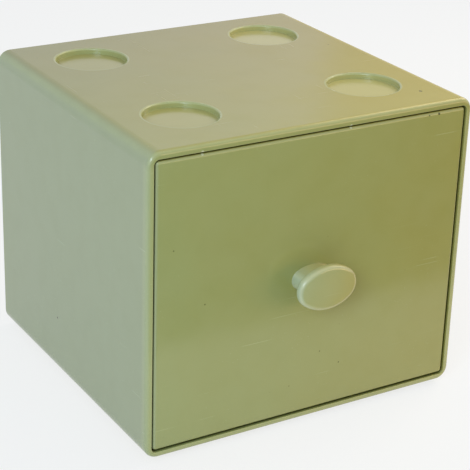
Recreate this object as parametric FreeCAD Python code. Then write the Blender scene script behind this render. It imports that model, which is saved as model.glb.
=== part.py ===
import FreeCAD, Part
import math
import os

# A stackable drawer box of moulded plastic, in millimetres.
# X runs across the front, +Y runs from the front to the back, +Z is up.
# The origin is at the middle of the space that the closed box takes up, on the surface it stands on.

Vector = FreeCAD.Vector

# Case: a rounded sleeve with a let-in back panel
case_width = 170.0
case_height = 147.5
case_depth = 159.0
side_wall = 3.1
floor_wall = 3.1
top_wall = 3.6
long_edge_radius = 6.5
front_rim_rounding = 2.1
mouth_edge_rounding = 0.3
rear_edge_rounding = 0.6

# Back panel, let into a step at the rear of the sleeve
back_thickness = 2.8
back_step = 1.5
back_clearance = 0.1
back_edge_rounding = 0.3
bumper_height = 1.0
bumper_width = 3.0
bumper_length = 60.0
bumper_offset = 52.0

# Four round stacking sockets in the top, and the feet that fit them
socket_radius = 17.2
socket_depth = 2.7
socket_floor = 2.4
socket_pad_wall = 2.2
socket_edge_rounding = 0.8
socket_side_margin = 36.0
socket_front_margin = 37.5
socket_rear_margin = 31.5
foot_clearance = 0.4
foot_height = 2.5
foot_edge_rounding = 0.5
spigot_radius = 4.0
spigot_clearance = 0.1

# Drawer front: a plate that fills the mouth of the case
front_gap = 0.9
front_inset = 0.2
front_thickness = 3.2
front_edge_rounding = 1.5
front_corner_margin = 0.1
peg_radius = 2.5
peg_clearance = 0.1
peg_head_radius = 3.8
peg_head_height = 1.2
peg_head_rounding = 0.9
peg_spacing_x = 120.0
peg_spacing_z = 70.0

# Drawer tray
tray_wall = 2.0
tray_floor = 2.0
tray_corner_radius = 5.0
tray_bottom_rounding = 2.0
tray_inner_rounding = 2.5
tray_rim_rounding = 0.7
tray_side_gap = 2.4
tray_back_clearance = 0.5
tray_top_drop = 12.0

# Runners, guides and the stop, moulded in the case
runner_height = 1.0
runner_width = 3.0
runner_edge_offset = 14.0
runner_clearance = 0.2
runner_front_margin = 8.0
guide_clearance = 0.5
guide_height = 4.0
guide_rise = 22.0
stop_front_margin = 20.0
stop_thickness = 2.4
stop_width = 60.0
stop_drop = 8.0
tab_width = 36.0
tab_top_clearance = 3.0
tab_root_height = 20.0
tab_corner_radius = 4.0

# Oval knob
knob_reach = 15.0
disc_half_width = 15.5
disc_half_height = 10.9
disc_end_radius = 8.6
disc_thickness = 4.6
disc_crown = 0.6
disc_front_rounding = 2.2
disc_back_rounding = 1.5
stem_half_width = 10.8
stem_half_height = 6.4
stem_end_radius = 5.2
stem_draft = 0.5
stem_root_rounding = 1.0
pip_radius = 1.5
pip_length = 1.6
pip_spacing = 14.0
pip_clearance = 0.1

# Screw and washer that clamp the tray, the front and the knob together
screw_radius = 1.5
screw_clearance = 0.05
screw_hole_clearance = 0.3
screw_grip = 8.0
screw_tip_length = 2.0
screw_tip_radius = 0.4
screw_head_radius = 3.6
screw_head_height = 2.2
screw_head_rounding = 1.2
screw_slot_width = 0.9
screw_slot_depth = 1.1
knob_hole_spare = 0.8
washer_radius = 5.2
washer_thickness = 0.8
washer_bore_clearance = 0.3
washer_edge_rounding = 0.2

# Places worked out from the sizes
overall_depth = case_depth + knob_reach - front_inset
case_back_y = overall_depth / 2
case_front_y = case_back_y - case_depth
case_bottom_z = foot_height
case_top_z = case_bottom_z + case_height
case_middle_z = case_bottom_z + case_height / 2
floor_z = case_bottom_z + floor_wall
ceiling_z = case_top_z - top_wall
mouth_width = case_width - 2 * side_wall
mouth_height = ceiling_z - floor_z
mouth_middle_z = (ceiling_z + floor_z) / 2
front_corner_radius = front_edge_rounding + front_corner_margin
mouth_radius = front_corner_radius + front_gap
back_inner_y = case_back_y - back_thickness

front_face_y = case_front_y + front_inset
front_back_y = front_face_y + front_thickness
front_width = mouth_width - 2 * front_gap
front_height = mouth_height - 2 * front_gap

tray_width = mouth_width - 2 * tray_side_gap
tray_front_y = front_back_y
tray_back_y = back_inner_y - bumper_height - tray_back_clearance
tray_depth = tray_back_y - tray_front_y
tray_middle_y = (tray_front_y + tray_back_y) / 2
tray_bottom_z = floor_z + runner_height + runner_clearance
tray_top_z = ceiling_z - tray_top_drop
tray_inner_front_y = tray_front_y + tray_wall
knob_z = mouth_middle_z

foot_radius = socket_radius - foot_clearance
socket_middle_x = case_width / 2 - socket_side_margin
socket_first_y = case_front_y + socket_front_margin
socket_last_y = case_back_y - socket_rear_margin
screw_hole_radius = screw_radius + screw_hole_clearance
screw_head_y = tray_inner_front_y + washer_thickness


def on_front(middle_x, middle_z, y):
    """Place for an outline that lies square to Y."""
    return lambda u, v: Vector(middle_x + u, y, middle_z + v)


def on_plan(middle_x, middle_y, z):
    """Place for an outline that lies flat, square to Z."""
    return lambda u, v: Vector(middle_x + u, middle_y + v, z)


def arc_points(middle_u, middle_v, radius, start, sweep, place):
    """Start, middle and end of a circle's arc, with angles in degrees."""
    points = []
    for part in (0.0, 0.5, 1.0):
        angle = math.radians(start + part * sweep)
        points.append(place(middle_u + radius * math.cos(angle), middle_v + radius * math.sin(angle)))
    return points


def rounded_rectangle(width, height, radius, place):
    """Closed outline: four quarter circles joined by straight sides."""
    arcs = []
    for sign_u, sign_v, start in ((1, 1, 0), (-1, 1, 90), (-1, -1, 180), (1, -1, 270)):
        middle_u = sign_u * (width / 2 - radius)
        middle_v = sign_v * (height / 2 - radius)
        arcs.append(arc_points(middle_u, middle_v, radius, start, 90, place))
    edges = []
    for number, arc in enumerate(arcs):
        following = arcs[(number + 1) % 4]
        edges.append(Part.Arc(*arc).toShape())
        edges.append(Part.LineSegment(arc[2], following[0]).toShape())
    return Part.Wire(edges)


def oval(half_width, half_height, end_radius, place):
    """Closed outline of four tangent arcs: small ones at the ends, large ones above and below."""
    reach = half_width - end_radius
    flat_radius = (reach ** 2 + half_height ** 2 - end_radius ** 2) / (2 * (half_height - end_radius))
    drop = flat_radius - half_height
    turn = math.degrees(math.atan2(drop, reach))
    arcs = (
        arc_points(reach, 0, end_radius, -turn, 2 * turn, place),
        arc_points(0, -drop, flat_radius, turn, 180 - 2 * turn, place),
        arc_points(-reach, 0, end_radius, 180 - turn, 2 * turn, place),
        arc_points(0, drop, flat_radius, 180 + turn, 180 - 2 * turn, place),
    )
    return Part.Wire([Part.Arc(*arc).toShape() for arc in arcs])


def prism(outline, travel):
    """Solid swept by a closed flat outline along a vector."""
    return Part.Face(outline).extrude(travel)


def block(x_range, y_range, z_range):
    """Box between two values on each axis."""
    size = [high - low for low, high in (x_range, y_range, z_range)]
    return Part.makeBox(*size, Vector(x_range[0], y_range[0], z_range[0]))


def centred_block(width, y_range, z_range, middle_x=0.0):
    """Box that is centred on one X."""
    return block((middle_x - width / 2, middle_x + width / 2), y_range, z_range)


def rod_along_y(radius, x, z, y_range):
    """Round bar along +Y."""
    return Part.makeCylinder(radius, y_range[1] - y_range[0], Vector(x, y_range[0], z), Vector(0, 1, 0))


def rod_along_z(radius, x, y, z_range):
    """Round bar along +Z."""
    return Part.makeCylinder(radius, z_range[1] - z_range[0], Vector(x, y, z_range[0]), Vector(0, 0, 1))


def edges_at(solid, axis, value, keep=None):
    """Edges that lie wholly in one plane square to an axis (0 is X, 1 is Y, 2 is Z)."""
    found = []
    for edge in solid.Edges:
        box = edge.BoundBox
        low = (box.XMin, box.YMin, box.ZMin)[axis]
        high = (box.XMax, box.YMax, box.ZMax)[axis]
        flat = abs(low - value) < 0.001 and abs(high - value) < 0.001
        if flat and (keep is None or keep(edge)):
            found.append(edge)
    return found


def is_circle_of(radius):
    """Test for a round edge of one radius."""
    def test(edge):
        return isinstance(edge.Curve, Part.Circle) and abs(edge.Curve.Radius - radius) < 0.001
    return test


def rounded(solid, radius, axis, value, keep=None):
    """The solid with its edges in one plane rounded."""
    return solid.makeFillet(radius, edges_at(solid, axis, value, keep))


def fused(first, *others):
    """One solid from several that touch or overlap."""
    return first.fuse(list(others)).removeSplitter()


def mirrored_pairs(spacing_u, spacing_v):
    """The four corners of a rectangle about its middle."""
    return [(u * spacing_u / 2, v * spacing_v / 2) for v in (-1, 1) for u in (-1, 1)]


def save(shape, node):
    """Write one piece under its name."""
    solids = shape.Solids
    piece = solids[0] if len(solids) == 1 else shape
    if not piece.isValid() or len(solids) != 1:
        raise ValueError("%s is not one valid solid" % node)
    piece.exportStep("parts/%s.step" % node)


def socket_middles():
    """X and Y of the four sockets, front pair first, left before right."""
    return [(side * socket_middle_x, y) for y in (socket_first_y, socket_last_y) for side in (-1, 1)]


def case_sleeve():
    """Rounded outside with its rims, less the straight hollow."""
    outside = prism(
        rounded_rectangle(case_width, case_height, long_edge_radius,
                          on_front(0, case_middle_z, case_front_y)),
        Vector(0, case_depth, 0))
    outside = rounded(outside, front_rim_rounding, 1, case_front_y)
    outside = rounded(outside, rear_edge_rounding, 1, case_back_y)
    hollow = prism(
        rounded_rectangle(mouth_width, mouth_height, mouth_radius,
                          on_front(0, mouth_middle_z, case_front_y)),
        Vector(0, case_depth, 0))
    sleeve = outside.cut(hollow)
    inner_half = mouth_width / 2 + mouth_edge_rounding
    sleeve = rounded(sleeve, mouth_edge_rounding, 1, case_front_y,
                     lambda edge: max(-edge.BoundBox.XMin, edge.BoundBox.XMax) < inner_half
                     and edge.BoundBox.ZMax < ceiling_z + mouth_edge_rounding
                     and edge.BoundBox.ZMin > floor_z - mouth_edge_rounding)
    step = prism(
        rounded_rectangle(mouth_width + 2 * back_step, mouth_height + 2 * back_step,
                          mouth_radius + back_step, on_front(0, mouth_middle_z, back_inner_y)),
        Vector(0, back_thickness, 0))
    return sleeve.cut(step)


def case_ribs():
    """Runners under the tray, guides beside it and the stop over it."""
    runner_x = mouth_width / 2 - runner_edge_offset
    run = (case_front_y + runner_front_margin, back_inner_y)
    ribs = []
    for side in (-1, 1):
        ribs.append(centred_block(runner_width, run, (floor_z - floor_wall / 2, floor_z + runner_height),
                                  side * runner_x))
        wall_x = side * (mouth_width / 2 + side_wall / 2)
        tip_x = side * (tray_width / 2 + guide_clearance)
        ribs.append(block((min(wall_x, tip_x), max(wall_x, tip_x)), run,
                          (floor_z + guide_rise, floor_z + guide_rise + guide_height)))
    stop_y = case_front_y + stop_front_margin
    ribs.append(centred_block(stop_width, (stop_y, stop_y + stop_thickness),
                              (ceiling_z - stop_drop, ceiling_z + top_wall / 2)))
    return ribs


def case_shell():
    """The one-piece sleeve with its sockets, runners, guides and stop."""
    shell = fused(case_sleeve(), *case_ribs())
    pad_bottom_z = case_top_z - socket_depth - socket_floor
    pads = []
    recesses = []
    spigot_holes = []
    for x, y in socket_middles():
        pads.append(rod_along_z(socket_radius + socket_pad_wall, x, y,
                                (pad_bottom_z, case_top_z - top_wall / 2)))
        recesses.append(rod_along_z(socket_radius, x, y,
                                    (case_top_z - socket_depth, case_top_z + socket_depth)))
        spigot_holes.append(rod_along_z(spigot_radius + spigot_clearance, x, y,
                                        (case_bottom_z - floor_wall, floor_z + floor_wall)))
    shell = fused(shell, *pads)
    shell = shell.cut(recesses + spigot_holes)
    return rounded(shell, socket_edge_rounding, 2, case_top_z, is_circle_of(socket_radius))


def back_panel():
    """Plate in the rear step, with two bumper ribs that the tray closes against."""
    plate = prism(
        rounded_rectangle(mouth_width + 2 * (back_step - back_clearance),
                          mouth_height + 2 * (back_step - back_clearance),
                          mouth_radius + back_step - back_clearance,
                          on_front(0, mouth_middle_z, back_inner_y)),
        Vector(0, back_thickness, 0))
    plate = rounded(plate, back_edge_rounding, 1, case_back_y)
    bumpers = []
    for side in (-1, 1):
        middle_x = side * bumper_offset
        bumpers.append(centred_block(
            bumper_width, (back_inner_y - bumper_height, back_inner_y + back_thickness / 2),
            (mouth_middle_z - bumper_length / 2, mouth_middle_z + bumper_length / 2), middle_x))
    return fused(plate, *bumpers)


def foot(x, y):
    """Round stacking foot with the spigot that holds it in the case floor."""
    disc = rod_along_z(foot_radius, x, y, (0, foot_height))
    disc = rounded(disc, foot_edge_rounding, 2, 0)
    spigot = rod_along_z(spigot_radius, x, y, (foot_height / 2, floor_z))
    return fused(disc, spigot)


def peg_places():
    """X and Z of the four staked pegs that hold the front to the tray."""
    return [(x, knob_z + z) for x, z in mirrored_pairs(peg_spacing_x, peg_spacing_z)]


def drawer_front():
    """Flush plate with rounded edges and four staked pegs on its back."""
    plate = prism(
        rounded_rectangle(front_width, front_height, front_corner_radius,
                          on_front(0, mouth_middle_z, front_face_y)),
        Vector(0, front_thickness, 0))
    plate = rounded(plate, front_edge_rounding, 1, front_face_y)
    pegs = []
    for x, z in peg_places():
        pegs.append(rod_along_y(peg_radius, x, z, (front_back_y - front_thickness / 2, tray_inner_front_y)))
        head_end_y = tray_inner_front_y + peg_head_height
        head = rod_along_y(peg_head_radius, x, z, (tray_inner_front_y, head_end_y))
        pegs.append(rounded(head, peg_head_rounding, 1, head_end_y))
    plate = fused(plate, *pegs)
    holes = [rod_along_y(screw_hole_radius, 0, knob_z, (front_face_y, front_back_y))]
    for side in (-1, 1):
        holes.append(rod_along_y(pip_radius + pip_clearance, side * pip_spacing / 2, knob_z,
                                 (front_face_y, front_face_y + pip_length + pip_clearance)))
    return plate.cut(holes)


def drawer_tray():
    """Open box with a rounded rim, and the tab on its back that meets the stop."""
    outside = prism(
        rounded_rectangle(tray_width, tray_depth, tray_corner_radius,
                          on_plan(0, tray_middle_y, tray_bottom_z)),
        Vector(0, 0, tray_top_z - tray_bottom_z))
    outside = rounded(outside, tray_bottom_rounding, 2, tray_bottom_z)
    hollow_z = tray_bottom_z + tray_floor
    hollow = prism(
        rounded_rectangle(tray_width - 2 * tray_wall, tray_depth - 2 * tray_wall,
                          tray_corner_radius - tray_wall, on_plan(0, tray_middle_y, hollow_z)),
        Vector(0, 0, tray_top_z - hollow_z))
    hollow = rounded(hollow, tray_inner_rounding, 2, hollow_z)
    tray = outside.cut(hollow)
    tray = rounded(tray, tray_rim_rounding, 2, tray_top_z)
    tab = prism(
        rounded_rectangle(tab_width, ceiling_z - tab_top_clearance - tray_top_z + tab_root_height,
                          tab_corner_radius,
                          on_front(0, (ceiling_z - tab_top_clearance + tray_top_z - tab_root_height) / 2,
                                   tray_back_y - tray_wall)),
        Vector(0, tray_wall, 0))
    tray = fused(tray, tab)
    holes = [rod_along_y(screw_hole_radius, 0, knob_z, (tray_front_y, tray_inner_front_y))]
    for x, z in peg_places():
        holes.append(rod_along_y(peg_radius + peg_clearance, x, z, (tray_front_y, tray_inner_front_y)))
    return tray.cut(holes)


def crowned_disc(front_y, back_y):
    """Oval plate whose front is part of a large ball, with both of its edges rounded."""
    start_y = front_y - disc_crown
    disc = prism(oval(disc_half_width, disc_half_height, disc_end_radius, on_front(0, knob_z, start_y)),
                 Vector(0, back_y - start_y, 0))
    crown_radius = (disc_half_width ** 2 + disc_crown ** 2) / (2 * disc_crown)
    ball = Part.makeSphere(crown_radius, Vector(0, front_y + crown_radius, knob_z))
    disc = disc.common(ball).Solids[0]
    rim = [edge for edge in disc.Edges if edge.BoundBox.YMax < front_y + disc_crown + 0.001]
    disc = disc.makeFillet(disc_front_rounding, rim)
    return rounded(disc, disc_back_rounding, 1, back_y)


def knob():
    """Crowned oval disc on a drafted oval stem, with a blind screw hole and two keying pips."""
    disc_front_y = front_face_y - knob_reach
    disc_back_y = disc_front_y + disc_thickness
    disc = crowned_disc(disc_front_y, disc_back_y)
    stem = Part.makeLoft([
        oval(stem_half_width, stem_half_height, stem_end_radius, on_front(0, knob_z, front_face_y)),
        oval(stem_half_width - stem_draft, stem_half_height - stem_draft, stem_end_radius - stem_draft,
             on_front(0, knob_z, disc_back_y - disc_thickness / 2)),
    ], True, True)
    body = disc.fuse(stem)
    neck = edges_at(body, 1, disc_back_y, lambda edge: edge.BoundBox.XMax < stem_half_width
                    and edge.BoundBox.XMin > -stem_half_width)
    body = body.makeFillet(stem_root_rounding, neck)
    pips = []
    for side in (-1, 1):
        pips.append(rod_along_y(pip_radius, side * pip_spacing / 2, knob_z,
                                (front_face_y - pip_length, front_face_y + pip_length)))
    body = fused(body, *pips)
    hole_end_y = front_face_y - screw_grip - knob_hole_spare
    return body.cut(rod_along_y(screw_radius + screw_clearance, 0, knob_z, (hole_end_y, front_face_y)))


def knob_screw():
    """Pan-head screw from inside the tray into the knob, with a slotted head."""
    tip_y = front_face_y - screw_grip
    shank = rod_along_y(screw_radius, 0, knob_z, (tip_y + screw_tip_length, screw_head_y))
    tip = Part.makeCone(screw_tip_radius, screw_radius, screw_tip_length, Vector(0, tip_y, knob_z),
                        Vector(0, 1, 0))
    head_end_y = screw_head_y + screw_head_height
    head = rod_along_y(screw_head_radius, 0, knob_z, (screw_head_y, head_end_y))
    head = rounded(head, screw_head_rounding, 1, head_end_y)
    slot = centred_block(screw_slot_width, (head_end_y - screw_slot_depth, head_end_y),
                         (knob_z - screw_head_radius, knob_z + screw_head_radius))
    return fused(head, shank, tip).cut(slot)


def knob_washer():
    """Flat ring between the screw head and the tray."""
    ring = rod_along_y(washer_radius, 0, knob_z, (tray_inner_front_y, screw_head_y))
    ring = rounded(ring, washer_edge_rounding, 1, screw_head_y)
    bore = rod_along_y(screw_radius + washer_bore_clearance, 0, knob_z, (tray_inner_front_y, screw_head_y))
    return ring.cut(bore)


os.makedirs("parts", exist_ok=True)
save(case_shell(), "case_shell")
save(back_panel(), "back_panel")
foot_names = ("foot_front_left", "foot_front_right", "foot_back_left", "foot_back_right")
for foot_name, (foot_x, foot_y) in zip(foot_names, socket_middles()):
    save(foot(foot_x, foot_y), foot_name)
save(drawer_tray(), "drawer_tray")
save(drawer_front(), "drawer_front")
save(knob(), "knob")
save(knob_screw(), "knob_screw")
save(knob_washer(), "knob_washer")
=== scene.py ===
"""Looks of the stackable drawer box, in metres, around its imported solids."""

import math

import bpy
from mathutils import Matrix, Vector

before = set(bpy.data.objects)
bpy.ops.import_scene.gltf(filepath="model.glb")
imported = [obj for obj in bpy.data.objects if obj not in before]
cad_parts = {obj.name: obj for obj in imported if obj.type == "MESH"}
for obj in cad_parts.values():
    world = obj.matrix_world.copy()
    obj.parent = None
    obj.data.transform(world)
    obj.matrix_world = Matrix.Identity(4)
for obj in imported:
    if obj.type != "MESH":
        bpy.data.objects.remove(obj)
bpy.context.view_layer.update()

MM = 0.001
PER_METRE = 1 / MM

# Camera: angles in degrees, target and distance in mm, clipping in metres
CAMERA_AZIMUTH = -31.328
CAMERA_ELEVATION = 23.582
CAMERA_ROLL = 1.838
CAMERA_TARGET = (6.573, 7.4, 64.413)
CAMERA_DISTANCE = 788.0
CAMERA_LENS = 120.56
CAMERA_SENSOR = 36.0
CAMERA_CLIP_START = 0.01
CAMERA_CLIP_END = 50.0

# Sizes of the surface's patterns in mm, and its heights in metres
CLOUD_SIZE = 38.0
CLOUD_REACH = 60.0
MOTTLE_SIZE = 14.0
WEAR_SIZE = 9.0
SCRATCH_SIZE = 1.0
SCRATCH_PATCH_SIZE = 30.0
SPECK_CELL = 9.0
SMUDGE_SIZE = 22.0
PEEL_SIZE = 2.4
PEEL_HEIGHT = 0.004 * MM
SINK_SIZE = 34.0
SINK_HEIGHT = 0.12 * MM
SCRATCH_DEPTH = 0.006 * MM
TURNING_SIZE = 0.6
TURNING_DEPTH = 0.01 * MM

# Finish of the plastic: its roughness, what marks add to it, and how strongly they show, painted light and
# shade among them
POLYSTYRENE_IOR = 1.59
BODY_ROUGHNESS = 0.17
KNOB_ROUGHNESS = 0.11
SMUDGE_ROUGHNESS = 0.07
SCRATCH_ROUGHNESS = 0.12
WEAR_ROUGHNESS = 0.1
SCRATCH_PALENESS = 0.22
MOTTLE_STRENGTH = 0.6
HANDLED_AND_SHEEN_STRENGTH = 0.35
GAP_SHADE_STRENGTH = 0.7
WEAR_LEAST = 0.28
WEAR_MOST = 0.42
RIM_HIGHLIGHT_LEAST = 0.25
RIM_HIGHLIGHT_MOST = 0.65
SOCKET_LIGHT_LEFT = 0.2
SOCKET_LIGHT_RIGHT = 0.5
SPECK_LEAST = 0.1
SPECK_MOST = 0.7

# Least and greatest roughness of the turned steel
STEEL_SMOOTHEST = 0.28
STEEL_ROUGHEST = 0.5

# The top is painted lighter at its front and darker at its back, as painted light and shade, given by Y in mm
# and by the factor there
TOP_FRONT = -70.0
TOP_BACK = 85.0
TOP_FRONT_VALUE = 1.12
TOP_BACK_VALUE = 0.77

# Height in mm over which the yellowing and the painted warm light of upward surfaces set in
AGED_AND_LIT_FADE = 5.0

# Stretch and turn of the two families of scratches, and where their patches are taken from
SCRATCH_LINES = (((0.02, 1.9, 1.3), (0.2, 0.3, 0.9)), ((1.6, 0.025, 1.7), (0.5, 0.1, 0.6)))
SCRATCH_SHIFT = (0, 0, 70)

# Colours of the plastic. The brown and yellow tones are partly ageing and partly painted warm light from the
# right and from above. The cool side colour is painted cool light, and the socket colour is painted light.
# The pale edge colour is partly worn paleness and partly painted highlight. The dark colour is dust, and also
# painted shade in the gap.
# Where they change from left to right, and the height above which upward surfaces have yellowed, are given in
# mm
BODY_COLOURS = {"fresh": "A1A86B", "browned_and_warm_lit": "A49F58", "faded_and_top_lit": "A29E59", "yellowed_and_warm_lit": "B5A34B",
                "painted_socket_light": "DCD496", "painted_cool_side": "A6AC85", "rubbed_and_sheen": "BEC38C", "dirt_and_gap_shade": "3E430F",
                "chip": "CDD0A8", "brown_and_warm_from": -55.0, "brown_and_warm_to": 115.0, "cool_side_from": -66.0,
                "cool_side_to": -78.0, "aged_and_lit_above": 138.0}
KNOB_COLOURS = {"fresh": "ADB684", "browned_and_warm_lit": "B9AD66", "faded_and_top_lit": "B2B078", "yellowed_and_warm_lit": "BCB070",
                "painted_cool_side": "BDC6A6", "rubbed_and_sheen": "D6D2A0", "dirt_and_gap_shade": "3E430F", "chip": "CDD0A8",
                "brown_and_warm_from": -5.0, "brown_and_warm_to": 60.0, "cool_side_from": 4.0, "cool_side_to": -4.0,
                "aged_and_lit_above": 0.0}

# Middles of the four sockets, the radius, rounding and least height of their rims, and a distance
# beyond any socket, in mm
SOCKETS = ((-49.0, -34.6), (49.0, -34.6), (-49.0, 55.4), (49.0, 55.4))
RIM_RADIUS = 17.6
RIM_ROUNDING = 0.8
RIM_LOWEST = 146.5
FAR_AWAY = 1000.0

# The drawer's opening, the depths between which its gap gets painted shade and full painted shade, and how
# far past the opening the painted shade still reaches and the handled rim begins, in mm
MOUTH_HALF_WIDTH = 81.9
MOUTH_HALF_HEIGHT = 70.4
MOUTH_MIDDLE = 76.0
GAP_SHADE_FROM = -71.6
GAP_SHADE_TO = -64.0
GAP_SHADE_FULL = GAP_SHADE_FROM + 1.2
GAP_SHADE_WANES = GAP_SHADE_TO - 3.0
GAP_CLEARANCE = 0.2
RIM_CLEARANCE = 0.1

# Wear and painted highlight of the handled front rim by depth and by height, in mm: it sets in at the first
# and is full at the second value of each pair
HANDLED_AND_SHEEN_FROM = GAP_SHADE_FROM + 5.0
HANDLED_AND_SHEEN_FULL = GAP_SHADE_FROM + 2.0
HANDLED_AND_SHEEN_TOP = 147.0
HANDLED_AND_SHEEN_TOP_FULL = 141.0

# Marks of use, each given by its middle in mm and its radius
DIRT = (((65.9, -71.9, 144.5), 0.8), ((60.4, -71.9, 144.4), 0.5), ((67.5, -54.7, 150.0), 1.1),
        ((-85.0, 20.8, 33.3), 0.7))
CHIPS = (((-59.0, -72.0, 146.5), 0.9), ((-58.7, -71.3, 145.2), 0.8), ((16.8, -72.0, 146.5), 0.7),
         ((17.1, -71.3, 145.2), 0.8))

# Floor and cards in metres, each card by two opposite corners
FLOOR = ((-4.0, -4.0, 0.0), (4.0, 4.0, 0.0))
SHADE_CARD = ((-0.9, -1.1, 0.5 * MM), (1.2, -0.170, 0.5 * MM))
WALL_CARD = ((0.95, 1.3, 0.0), (3.0, 1.3, 2.0))
FLOOR_GLOW = 0.75

# Lamps by name, place and size in metres, power in watts and colour
LAMPS = (("left_light", (-1.05, -0.95, 0.8), (0.6, 0.6), 10.6, "DCF0FF"),
         ("front_light", (1.1, -1.3, 0.25), (1.2, 0.5), 5.3, "FFC890"),
         ("right_light", (0.6, 0.05, 0.6), (0.5, 0.5), 2.5, "FFEFD0"))
LAMP_AIM = (0, 0, 0.07)
SKY_COLOUR = "E4F2FF"
SKY_STRENGTH = 0.47

# Settings that many nodes share
SMOOTH = {"interpolation_type": "SMOOTHSTEP"}
COLOUR_MIX = {"data_type": "RGBA"}
MULTIPLY_ADD = {"operation": "MULTIPLY_ADD"}
MULTIPLY = {"operation": "MULTIPLY"}
MAXIMUM = {"operation": "MAXIMUM"}
MINIMUM = {"operation": "MINIMUM"}
ABSOLUTE = {"operation": "ABSOLUTE"}
SUBTRACT = {"operation": "SUBTRACT"}
GREATER_THAN = {"operation": "GREATER_THAN"}
LESS_THAN = {"operation": "LESS_THAN"}
DISTANCE = {"operation": "DISTANCE"}


# Camera

def add_camera():
    """Camera that looks at one point from a distance, turned a little about its own line of sight."""
    azimuth = math.radians(CAMERA_AZIMUTH)
    elevation = math.radians(CAMERA_ELEVATION)
    roll = math.radians(CAMERA_ROLL)
    target = Vector(CAMERA_TARGET) * MM
    distance = CAMERA_DISTANCE * MM
    back = Vector((math.sin(azimuth) * math.cos(elevation),
                   -math.cos(azimuth) * math.cos(elevation),
                   math.sin(elevation)))
    right = (-back).cross(Vector((0, 0, 1))).normalized()
    up = back.cross(right)
    turned_right = right * math.cos(roll) + up * math.sin(roll)
    turned_up = up * math.cos(roll) - right * math.sin(roll)
    data = bpy.data.cameras.new("camera")
    data.sensor_width = CAMERA_SENSOR
    data.lens = CAMERA_LENS
    data.clip_start = CAMERA_CLIP_START
    data.clip_end = CAMERA_CLIP_END
    camera = bpy.data.objects.new("camera", data)
    bpy.context.scene.collection.objects.link(camera)
    place = Matrix((turned_right, turned_up, back)).transposed().to_4x4()
    place.translation = target + back * distance
    camera.matrix_world = place
    bpy.context.scene.camera = camera


# Helpers for materials

def linear(colour_hex):
    """An sRGB hex colour as linear RGBA."""
    channels = []
    for start in (0, 2, 4):
        value = int(colour_hex[start:start + 2], 16) / 255
        channels.append(value / 12.92 if value <= 0.04045 else ((value + 0.055) / 1.055) ** 2.4)
    return (*channels, 1.0)


def add_node(tree, kind, settings=None, inputs=None):
    """One node with its settings. An input that is given a socket is linked, any other is set."""
    node = tree.nodes.new(kind)
    for name, value in (settings or {}).items():
        setattr(node, name, value)
    for name, value in (inputs or {}).items():
        if isinstance(value, bpy.types.NodeSocket):
            tree.links.new(value, node.inputs[name])
        else:
            node.inputs[name].default_value = value
    return node


def new_material(name):
    """Material with an empty node tree."""
    material = bpy.data.materials.new(name)
    material.use_nodes = True
    material.node_tree.nodes.clear()
    return material, material.node_tree


# Colour, wear and dirt of the plastic, and the painted light and shade laid on it

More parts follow.
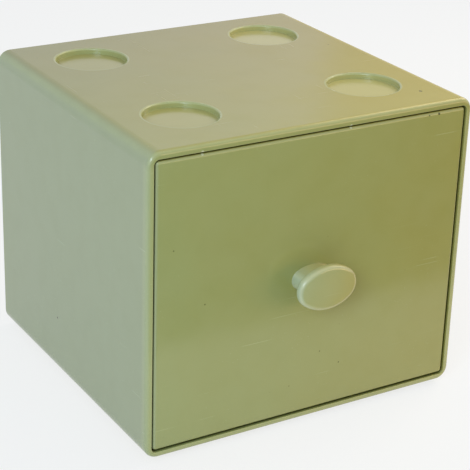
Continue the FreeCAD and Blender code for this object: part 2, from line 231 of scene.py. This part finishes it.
def aged_colour(tree, mm, normal, colours):
    """The plastic's colour.

    It is browner to the right and yellower where it looks up, partly from years of light and partly as
    painted warm light from the right and from above. The top is painted lighter at its front and darker
    towards its back, as painted light and shade, and the left side has a greyer colour, painted cool light
    from the window.
    """
    facing = add_node(tree, "ShaderNodeSeparateXYZ", None, {0: normal}).outputs
    place = add_node(tree, "ShaderNodeSeparateXYZ", None, {0: mm}).outputs
    cloud = add_node(tree, "ShaderNodeTexNoise", None, {"Vector": mm, "Scale": 1 / CLOUD_SIZE, "Detail": 3.0})
    cloudy_place = add_node(tree, "ShaderNodeMath", MULTIPLY_ADD,
                            {0: cloud.outputs["Fac"], 1: CLOUD_REACH, 2: place[0]})
    # Browner to the right: partly ageing, partly painted warm light from the right.
    rightward = add_node(tree, "ShaderNodeMapRange", None,
                         {"Value": cloudy_place.outputs[0], "From Min": colours["brown_and_warm_from"],
                          "From Max": colours["brown_and_warm_to"]})
    # Yellower where it looks up: partly ageing, partly painted warm light from above.
    upward = add_node(tree, "ShaderNodeMapRange", SMOOTH,
                      {"Value": facing[2], "From Min": 0.4, "From Max": 0.98})
    exposed = add_node(tree, "ShaderNodeMapRange", SMOOTH,
                       {"Value": place[2], "From Min": colours["aged_and_lit_above"],
                        "From Max": colours["aged_and_lit_above"] + AGED_AND_LIT_FADE})
    upward = add_node(tree, "ShaderNodeMath", MULTIPLY, {0: upward.outputs[0], 1: exposed.outputs[0]})
    # The left side takes a greyer, cooler colour: painted cool light from the window on the left.
    leftward = add_node(tree, "ShaderNodeMapRange", SMOOTH,
                        {"Value": facing[0], "From Min": 0.0, "From Max": -0.95})
    outermost = add_node(tree, "ShaderNodeMapRange", SMOOTH,
                         {"Value": place[0], "From Min": colours["cool_side_from"],
                          "From Max": colours["cool_side_to"]})
    painted_cool_side = add_node(tree, "ShaderNodeMath", MULTIPLY, {0: leftward.outputs[0], 1: outermost.outputs[0]})
    upright = add_node(tree, "ShaderNodeMix", COLOUR_MIX,
                       {0: rightward.outputs[0], 6: linear(colours["fresh"]), 7: linear(colours["browned_and_warm_lit"])})
    flat = add_node(tree, "ShaderNodeMix", COLOUR_MIX,
                    {0: rightward.outputs[0], 6: linear(colours["faded_and_top_lit"]), 7: linear(colours["yellowed_and_warm_lit"])})
    # Painted light at the front of the top and painted shade towards its back.
    towards_back = add_node(tree, "ShaderNodeMapRange", None,
                            {"Value": place[1], "From Min": TOP_FRONT, "From Max": TOP_BACK,
                             "To Min": TOP_FRONT_VALUE, "To Max": TOP_BACK_VALUE})
    flat = add_node(tree, "ShaderNodeHueSaturation", None,
                    {"Value": towards_back.outputs[0], "Color": flat.outputs[2]})
    colour = add_node(tree, "ShaderNodeMix", COLOUR_MIX,
                      {0: upward.outputs[0], 6: upright.outputs[2], 7: flat.outputs[0]})
    colour = add_node(tree, "ShaderNodeMix", COLOUR_MIX,
                      {0: painted_cool_side.outputs[0], 6: colour.outputs[2], 7: linear(colours["painted_cool_side"])})
    mottle = add_node(tree, "ShaderNodeTexNoise", None,
                      {"Vector": mm, "Scale": 1 / MOTTLE_SIZE, "Detail": 4.0})
    patches = add_node(tree, "ShaderNodeMapRange", SMOOTH,
                       {"Value": mottle.outputs["Fac"], "From Min": 0.35, "From Max": 0.8,
                        "To Max": MOTTLE_STRENGTH})
    deep = add_node(tree, "ShaderNodeHueSaturation", None,
                    {"Value": 0.95, "Saturation": 1.04, "Color": colour.outputs[2]})
    return add_node(tree, "ShaderNodeMix", COLOUR_MIX,
                    {0: patches.outputs[0], 6: colour.outputs[2], 7: deep.outputs[0]}).outputs[2]


def edge_wear(tree, mm, normal):
    """How much an edge is rubbed: high where the surface turns from one flat side to the next, in patches."""
    absolute = add_node(tree, "ShaderNodeVectorMath", ABSOLUTE, {0: normal})
    parts = add_node(tree, "ShaderNodeSeparateXYZ", None, {0: absolute.outputs[0]}).outputs
    flatness = add_node(tree, "ShaderNodeMath", MAXIMUM, {0: parts[0], 1: parts[1]})
    flatness = add_node(tree, "ShaderNodeMath", MAXIMUM, {0: flatness.outputs[0], 1: parts[2]})
    turning = add_node(tree, "ShaderNodeMapRange", SMOOTH,
                       {"Value": flatness.outputs[0], "From Min": 0.96, "From Max": 0.74})
    noise = add_node(tree, "ShaderNodeTexNoise", None, {"Vector": mm, "Scale": 1 / WEAR_SIZE, "Detail": 3.0})
    patches = add_node(tree, "ShaderNodeMapRange", SMOOTH,
                       {"Value": noise.outputs["Fac"], "From Min": 0.3, "From Max": 0.7, "To Min": WEAR_LEAST,
                        "To Max": WEAR_MOST})
    return add_node(tree, "ShaderNodeMath", MULTIPLY,
                    {0: turning.outputs[0], 1: patches.outputs[0]}).outputs[0]


def distance_to_socket(tree, mm, middles):
    """Distance in plan from the middle of the nearest socket, in mm."""
    plan = add_node(tree, "ShaderNodeVectorMath", MULTIPLY, {0: mm, 1: (1, 1, 0)})
    nearest = FAR_AWAY
    for x, y in middles:
        away = add_node(tree, "ShaderNodeVectorMath", DISTANCE, {0: plan.outputs[0], 1: (x, y, 0)})
        nearest = add_node(tree, "ShaderNodeMath", MINIMUM, {0: away.outputs["Value"], 1: nearest}).outputs[0]
    return nearest


def painted_rim_highlights(tree, mm, normal, distance):
    """How much painted highlight the rounded edges of the round sockets get, most where they face up."""
    height = add_node(tree, "ShaderNodeSeparateXYZ", None, {0: mm}).outputs[2]
    facing = add_node(tree, "ShaderNodeSeparateXYZ", None, {0: normal}).outputs
    off = add_node(tree, "ShaderNodeMath", SUBTRACT, {0: distance, 1: RIM_RADIUS})
    off = add_node(tree, "ShaderNodeMath", ABSOLUTE, {0: off.outputs[0]})
    ring = add_node(tree, "ShaderNodeMapRange", SMOOTH,
                    {"Value": off.outputs[0], "From Min": 1.0, "From Max": 0.5})
    strength = add_node(tree, "ShaderNodeMapRange", None,
                        {"Value": facing[2], "From Max": 0.4, "To Min": RIM_HIGHLIGHT_LEAST,
                         "To Max": RIM_HIGHLIGHT_MOST})
    high = add_node(tree, "ShaderNodeMath", GREATER_THAN, {0: height, 1: RIM_LOWEST})
    shown = add_node(tree, "ShaderNodeMath", MULTIPLY, {0: ring.outputs[0], 1: high.outputs[0]})
    return add_node(tree, "ShaderNodeMath", MULTIPLY,
                    {0: shown.outputs[0], 1: strength.outputs[0]}).outputs[0]


def handled_and_sheen_rim(tree, mm):
    """Worn paleness and painted highlight on the sides and bottom of the case's front rim, where hands pull
    the drawer.
    """
    place = add_node(tree, "ShaderNodeSeparateXYZ", None, {0: mm}).outputs
    across = add_node(tree, "ShaderNodeMath", ABSOLUTE, {0: place[0]})
    beside = add_node(tree, "ShaderNodeMath", GREATER_THAN,
                      {0: across.outputs[0], 1: MOUTH_HALF_WIDTH + RIM_CLEARANCE})
    below = add_node(tree, "ShaderNodeMath", LESS_THAN,
                     {0: place[2], 1: MOUTH_MIDDLE - MOUTH_HALF_HEIGHT - RIM_CLEARANCE})
    outside = add_node(tree, "ShaderNodeMath", MAXIMUM, {0: beside.outputs[0], 1: below.outputs[0]})
    forward = add_node(tree, "ShaderNodeMapRange", SMOOTH,
                       {"Value": place[1], "From Min": HANDLED_AND_SHEEN_FROM, "From Max": HANDLED_AND_SHEEN_FULL})
    under_top = add_node(tree, "ShaderNodeMapRange", SMOOTH,
                         {"Value": place[2], "From Min": HANDLED_AND_SHEEN_TOP, "From Max": HANDLED_AND_SHEEN_TOP_FULL,
                          "To Max": HANDLED_AND_SHEEN_STRENGTH})
    shown = add_node(tree, "ShaderNodeMath", MULTIPLY, {0: outside.outputs[0], 1: forward.outputs[0]})
    return add_node(tree, "ShaderNodeMath", MULTIPLY,
                    {0: shown.outputs[0], 1: under_top.outputs[0]}).outputs[0]


def painted_socket_lightening(tree, mm, distance):
    """How much paler the sockets are painted, painted light that lifts their shade, most to the right."""
    place = add_node(tree, "ShaderNodeSeparateXYZ", None, {0: mm}).outputs
    inside = add_node(tree, "ShaderNodeMapRange", SMOOTH,
                      {"Value": distance, "From Min": RIM_RADIUS, "From Max": RIM_RADIUS - RIM_ROUNDING})
    high = add_node(tree, "ShaderNodeMath", GREATER_THAN, {0: place[2], 1: RIM_LOWEST})
    amount = add_node(tree, "ShaderNodeMapRange", None,
                      {"Value": place[0], "From Min": SOCKETS[0][0], "From Max": SOCKETS[1][0],
                       "To Min": SOCKET_LIGHT_LEFT, "To Max": SOCKET_LIGHT_RIGHT})
    shown = add_node(tree, "ShaderNodeMath", MULTIPLY, {0: inside.outputs[0], 1: high.outputs[0]})
    return add_node(tree, "ShaderNodeMath", MULTIPLY, {0: shown.outputs[0], 1: amount.outputs[0]}).outputs[0]


def gap_painted_shade(tree, mm, normal):
    """How much painted shade darkens the walls of the gap round the drawer's front, a little behind its face.
    """
    place = add_node(tree, "ShaderNodeSeparateXYZ", None, {0: mm}).outputs
    facing = add_node(tree, "ShaderNodeSeparateXYZ", None, {0: normal}).outputs
    forward = add_node(tree, "ShaderNodeMath", ABSOLUTE, {0: facing[1]})
    sideways = add_node(tree, "ShaderNodeMapRange", SMOOTH,
                        {"Value": forward.outputs[0], "From Min": 0.8, "From Max": 0.3})
    begun = add_node(tree, "ShaderNodeMapRange", SMOOTH,
                     {"Value": place[1], "From Min": GAP_SHADE_FROM, "From Max": GAP_SHADE_FULL})
    ended = add_node(tree, "ShaderNodeMapRange", SMOOTH,
                     {"Value": place[1], "From Min": GAP_SHADE_TO, "From Max": GAP_SHADE_WANES,
                      "To Max": GAP_SHADE_STRENGTH})
    across = add_node(tree, "ShaderNodeMath", ABSOLUTE, {0: place[0]})
    within_sides = add_node(tree, "ShaderNodeMath", LESS_THAN,
                            {0: across.outputs[0], 1: MOUTH_HALF_WIDTH + GAP_CLEARANCE})
    height = add_node(tree, "ShaderNodeMath", SUBTRACT, {0: place[2], 1: MOUTH_MIDDLE})
    height = add_node(tree, "ShaderNodeMath", ABSOLUTE, {0: height.outputs[0]})
    within_ends = add_node(tree, "ShaderNodeMath", LESS_THAN,
                           {0: height.outputs[0], 1: MOUTH_HALF_HEIGHT + GAP_CLEARANCE})
    painted_shade = sideways.outputs[0]
    for share in (begun, ended, within_sides, within_ends):
        painted_shade = add_node(tree, "ShaderNodeMath", MULTIPLY, {0: painted_shade, 1: share.outputs[0]}).outputs[0]
    return painted_shade


def hair_scratches(tree, mm):
    """Thin handling scratches: the crests of two noises, each drawn out along its own line, in patches."""
    crests = []
    for stretch, turn in SCRATCH_LINES:
        drawn = add_node(tree, "ShaderNodeMapping", None, {"Vector": mm, "Scale": stretch, "Rotation": turn})
        noise = add_node(tree, "ShaderNodeTexNoise", None,
                         {"Vector": drawn.outputs[0], "Scale": 1 / SCRATCH_SIZE, "Detail": 1.0})
        crest = add_node(tree, "ShaderNodeMapRange", SMOOTH,
                         {"Value": noise.outputs["Fac"], "From Min": 0.72, "From Max": 0.78})
        crests.append(crest.outputs[0])
    both = add_node(tree, "ShaderNodeMath", MAXIMUM, {0: crests[0], 1: crests[1]})
    moved = add_node(tree, "ShaderNodeMapping", None, {"Vector": mm, "Location": SCRATCH_SHIFT})
    noise = add_node(tree, "ShaderNodeTexNoise", None,
                     {"Vector": moved.outputs[0], "Scale": 1 / SCRATCH_PATCH_SIZE})
    patches = add_node(tree, "ShaderNodeMapRange", SMOOTH,
                       {"Value": noise.outputs["Fac"], "From Min": 0.44, "From Max": 0.62})
    return add_node(tree, "ShaderNodeMath", MULTIPLY, {0: both.outputs[0], 1: patches.outputs[0]}).outputs[0]


def dust_specks(tree, mm):
    """Small dark specks, one at the middle of some cells, each with its own strength."""
    cells = add_node(tree, "ShaderNodeTexVoronoi", None, {"Vector": mm, "Scale": 1 / SPECK_CELL})
    luck = add_node(tree, "ShaderNodeSeparateColor", None, {0: cells.outputs["Color"]}).outputs
    dot = add_node(tree, "ShaderNodeMapRange", SMOOTH,
                   {"Value": cells.outputs["Distance"], "From Min": 0.06, "From Max": 0.03})
    kept = add_node(tree, "ShaderNodeMapRange", None, {"Value": luck[0], "From Min": 0.72, "From Max": 0.74})
    strength = add_node(tree, "ShaderNodeMapRange", None,
                        {"Value": luck[1], "To Min": SPECK_LEAST, "To Max": SPECK_MOST})
    shown = add_node(tree, "ShaderNodeMath", MULTIPLY, {0: dot.outputs[0], 1: kept.outputs[0]})
    return add_node(tree, "ShaderNodeMath", MULTIPLY,
                    {0: shown.outputs[0], 1: strength.outputs[0]}).outputs[0]


def marks(tree, mm, places):
    """One inside small round marks, and none outside them."""
    shown = 0.0
    for middle, radius in places:
        away = add_node(tree, "ShaderNodeVectorMath", DISTANCE, {0: mm, 1: middle})
        dot = add_node(tree, "ShaderNodeMapRange", SMOOTH,
                       {"Value": away.outputs["Value"], "From Min": radius, "From Max": radius / 2})
        shown = add_node(tree, "ShaderNodeMath", MAXIMUM, {0: dot.outputs[0], 1: shown}).outputs[0]
    return shown


# Materials

def moulded_relief(tree, mm, scratches):
    """Normal of the moulded skin: a fine orange peel, the slow sink of the wall, and the scratches."""
    peel = add_node(tree, "ShaderNodeTexNoise", None, {"Vector": mm, "Scale": 1 / PEEL_SIZE})
    peel_bump = add_node(tree, "ShaderNodeBump", None,
                         {"Height": peel.outputs["Fac"], "Distance": PEEL_HEIGHT})
    sink = add_node(tree, "ShaderNodeTexNoise", None, {"Vector": mm, "Scale": 1 / SINK_SIZE, "Detail": 1.0})
    sink_bump = add_node(tree, "ShaderNodeBump", None,
                         {"Height": sink.outputs["Fac"], "Distance": SINK_HEIGHT,
                          "Normal": peel_bump.outputs[0]})
    return add_node(tree, "ShaderNodeBump", {"invert": True},
                    {"Height": scratches, "Distance": SCRATCH_DEPTH,
                     "Normal": sink_bump.outputs[0]}).outputs[0]


def moulded_roughness(tree, mm, roughness, scratches, wear_and_sheen):
    """Roughness of the polished skin, higher in smudges, scratches, worn places and painted highlights."""
    noise = add_node(tree, "ShaderNodeTexNoise", None,
                     {"Vector": mm, "Scale": 1 / SMUDGE_SIZE, "Detail": 3.0})
    smudges = add_node(tree, "ShaderNodeMapRange", SMOOTH,
                       {"Value": noise.outputs["Fac"], "From Min": 0.4, "From Max": 0.75, "To Min": roughness,
                        "To Max": roughness + SMUDGE_ROUGHNESS})
    rough = add_node(tree, "ShaderNodeMath", MULTIPLY_ADD,
                     {0: scratches, 1: SCRATCH_ROUGHNESS, 2: smudges.outputs[0]})
    return add_node(tree, "ShaderNodeMath", MULTIPLY_ADD,
                    {0: wear_and_sheen, 1: WEAR_ROUGHNESS, 2: rough.outputs[0]}).outputs[0]


def moulded_polystyrene(name, colours, roughness, sockets=()):
    """Opaque polystyrene from a polished mould.

    It has one colour right through, a soft-edged gloss, hairline scratches, dust specks and slightly
    paler worn edges, with painted highlights on some. Years of light have turned yellow the faces that lie
    upwards and the right of the box, and painted warm light adds to that.
    """
    material, tree = new_material(name)
    place = add_node(tree, "ShaderNodeTexCoord").outputs["Object"]
    mm = add_node(tree, "ShaderNodeVectorMath", {"operation": "SCALE"},
                  {0: place, "Scale": PER_METRE}).outputs[0]
    normal = add_node(tree, "ShaderNodeNewGeometry").outputs["Normal"]

    wear_and_sheen = edge_wear(tree, mm, normal)
    colour = aged_colour(tree, mm, normal, colours)
    if sockets:
        distance = distance_to_socket(tree, mm, sockets)
        # The socket edges get a painted highlight, and the front rim both worn paleness and a painted
        # highlight.
        rim_highlights = painted_rim_highlights(tree, mm, normal, distance)
        for more in (rim_highlights, handled_and_sheen_rim(tree, mm)):
            wear_and_sheen = add_node(tree, "ShaderNodeMath", MAXIMUM, {0: wear_and_sheen, 1: more}).outputs[0]
        # Painted light in the sockets: inside them the plastic is painted paler.
        colour = add_node(tree, "ShaderNodeMix", COLOUR_MIX,
                          {0: painted_socket_lightening(tree, mm, distance), 6: colour,
                           7: linear(colours["painted_socket_light"])}).outputs[2]
    scratches = hair_scratches(tree, mm)
    specks = dust_specks(tree, mm)
    # Worn edges and painted highlights take the pale edge colour.
    colour = add_node(tree, "ShaderNodeMix", COLOUR_MIX,
                      {0: wear_and_sheen, 6: colour, 7: linear(colours["rubbed_and_sheen"])}).outputs[2]
    pale = add_node(tree, "ShaderNodeMath", MULTIPLY, {0: scratches, 1: SCRATCH_PALENESS})
    colour = add_node(tree, "ShaderNodeMix", COLOUR_MIX,
                      {0: pale.outputs[0], 6: colour, 7: linear(colours["rubbed_and_sheen"])}).outputs[2]
    dirt_and_gap_shade = add_node(tree, "ShaderNodeMath", MAXIMUM, {0: specks, 1: marks(tree, mm, DIRT)})
    # The gap round the drawer's front is darkened here by painted shade, along with the dust specks and
    # marks.
    dirt_and_gap_shade = add_node(tree, "ShaderNodeMath", MAXIMUM, {0: dirt_and_gap_shade.outputs[0], 1: gap_painted_shade(tree, mm, normal)})
    colour = add_node(tree, "ShaderNodeMix", COLOUR_MIX,
                      {0: dirt_and_gap_shade.outputs[0], 6: colour, 7: linear(colours["dirt_and_gap_shade"])}).outputs[2]
    colour = add_node(tree, "ShaderNodeMix", COLOUR_MIX,
                      {0: marks(tree, mm, CHIPS), 6: colour, 7: linear(colours["chip"])}).outputs[2]

    shader = add_node(tree, "ShaderNodeBsdfPrincipled", None,
                      {"Base Color": colour, "IOR": POLYSTYRENE_IOR,
                       "Roughness": moulded_roughness(tree, mm, roughness, scratches, wear_and_sheen),
                       "Normal": moulded_relief(tree, mm, scratches)})
    add_node(tree, "ShaderNodeOutputMaterial", None, {"Surface": shader.outputs["BSDF"]})
    return material


def zinc_plated_steel():
    """Turned and zinc plated steel: a grey, slightly blue metal with fine turning lines."""
    material, tree = new_material("zinc_plated_steel")
    place = add_node(tree, "ShaderNodeTexCoord").outputs["Object"]
    lines = add_node(tree, "ShaderNodeTexNoise", None,
                     {"Vector": place, "Scale": 1 / (TURNING_SIZE * MM), "Detail": 3.0})
    tone = add_node(tree, "ShaderNodeMix", COLOUR_MIX,
                    {0: lines.outputs["Fac"], 6: linear("B9BDC1"), 7: linear("8F9396")})
    rough = add_node(tree, "ShaderNodeMapRange", None,
                     {"Value": lines.outputs["Fac"], "To Min": STEEL_SMOOTHEST,
                      "To Max": STEEL_ROUGHEST})
    bump = add_node(tree, "ShaderNodeBump", None, {"Height": lines.outputs["Fac"], "Distance": TURNING_DEPTH})
    shader = add_node(tree, "ShaderNodeBsdfPrincipled", None,
                      {"Base Color": tone.outputs[2], "Metallic": 1.0, "Roughness": rough.outputs[0],
                       "Normal": bump.outputs[0]})
    add_node(tree, "ShaderNodeOutputMaterial", None, {"Surface": shader.outputs["BSDF"]})
    return material


# The box

def dress(nodes, material):
    """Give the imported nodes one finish."""
    for node_name in nodes:
        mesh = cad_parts[node_name].data
        mesh.materials.clear()
        mesh.materials.append(material)


add_camera()

dress(("case_shell", "back_panel", "foot_front_left", "foot_front_right", "foot_back_left",
       "foot_back_right"),
      moulded_polystyrene("case_moulded_polystyrene", BODY_COLOURS, BODY_ROUGHNESS, SOCKETS))
dress(("drawer_front", "drawer_tray"),
      moulded_polystyrene("drawer_moulded_polystyrene", BODY_COLOURS, BODY_ROUGHNESS))
dress(("knob",), moulded_polystyrene("knob_moulded_polystyrene", KNOB_COLOURS, KNOB_ROUGHNESS))
dress(("knob_screw", "knob_washer"), zinc_plated_steel())


# Floor and light

def card(name, first, last, material):
    """Flat four-cornered card between two opposite corners, either level or upright and square to Y."""
    corners = [first, (last[0], first[1], first[2]), last, (first[0], last[1], last[2])]
    data = bpy.data.meshes.new(name)
    data.from_pydata(corners, [], [(0, 1, 2, 3)])
    data.materials.append(material)
    piece = bpy.data.objects.new(name, data)
    bpy.context.scene.collection.objects.link(piece)
    return piece


def show_only_in_gloss(piece):
    """Leave the piece to mirroring surfaces alone."""
    piece.visible_camera = False
    piece.visible_diffuse = False
    piece.visible_shadow = False
    piece.visible_transmission = False


def seen_directly(tree):
    """One where a surface is seen or mirrored, and none where it only lights others."""
    path = add_node(tree, "ShaderNodeLightPath")
    seen = add_node(tree, "ShaderNodeMath", MAXIMUM,
                    {0: path.outputs["Is Camera Ray"], 1: path.outputs["Is Glossy Ray"]})
    return add_node(tree, "ShaderNodeMath", MAXIMUM,
                    {0: seen.outputs[0], 1: path.outputs["Is Transmission Ray"]}).outputs[0]


def white_paper():
    """Matt white paper, which looks whiter than it lights, and keeps a part of each shadow."""
    material, tree = new_material("floor_paper")
    paper = add_node(tree, "ShaderNodeBsdfDiffuse", None, {"Color": linear("F7F6F3")})
    glow = add_node(tree, "ShaderNodeEmission", None, {"Color": linear("FFFFFF"), "Strength": 1.0})
    share = add_node(tree, "ShaderNodeMath", MULTIPLY, {0: seen_directly(tree), 1: FLOOR_GLOW})
    mixed = add_node(tree, "ShaderNodeMixShader", None,
                     {0: share.outputs[0], 1: paper.outputs[0], 2: glow.outputs[0]})
    add_node(tree, "ShaderNodeOutputMaterial", None, {"Surface": mixed.outputs[0]})
    return material


def dark_card():
    """Matt olive card, without any gloss of its own."""
    material, tree = new_material("shade_card")
    shader = add_node(tree, "ShaderNodeBsdfDiffuse", None, {"Color": linear("4A4634")})
    add_node(tree, "ShaderNodeOutputMaterial", None, {"Surface": shader.outputs["BSDF"]})
    return material


def glowing_wall():
    """Cream card that glows by itself, a painted stand-in for a lamp-lit wall."""
    material, tree = new_material("glowing_wall")
    glow = add_node(tree, "ShaderNodeEmission", None, {"Color": linear("F8F0D0"), "Strength": 1.0})
    add_node(tree, "ShaderNodeOutputMaterial", None, {"Surface": glow.outputs[0]})
    return material


def add_surroundings():
    """White floor, and in the gloss alone the dark ground before the table and a glowing card for the wall at
    its right.
    """
    card("floor", *FLOOR, white_paper())
    show_only_in_gloss(card("shade_card", *SHADE_CARD, dark_card()))
    show_only_in_gloss(card("wall_card", *WALL_CARD, glowing_wall()))


def add_area_light(name, place, size, power, colour_hex):
    """Soft rectangular lamp that faces the box."""
    data = bpy.data.lights.new(name, "AREA")
    data.shape = "RECTANGLE"
    data.size, data.size_y = size
    data.energy = power
    data.color = linear(colour_hex)[:3]
    light = bpy.data.objects.new(name, data)
    bpy.context.scene.collection.objects.link(light)
    light.location = Vector(place)
    light.rotation_mode = "QUATERNION"
    light.rotation_quaternion = (Vector(LAMP_AIM) - Vector(place)).to_track_quat("-Z", "Y")


def add_world():
    """Even soft light, and plain white where the background is seen or mirrored."""
    world = bpy.data.worlds.new("soft_light")
    bpy.context.scene.world = world
    world.use_nodes = True
    tree = world.node_tree
    tree.nodes.clear()
    light = add_node(tree, "ShaderNodeBackground", None,
                     {"Color": linear(SKY_COLOUR), "Strength": SKY_STRENGTH})
    white = add_node(tree, "ShaderNodeBackground", None, {"Color": linear("FFFFFF"), "Strength": 1.0})
    mixed = add_node(tree, "ShaderNodeMixShader", None,
                     {0: seen_directly(tree), 1: light.outputs[0], 2: white.outputs[0]})
    add_node(tree, "ShaderNodeOutputWorld", None, {"Surface": mixed.outputs[0]})


add_surroundings()
add_world()
for lamp in LAMPS:
    add_area_light(*lamp)
bpy.context.scene.view_settings.view_transform = "Standard"
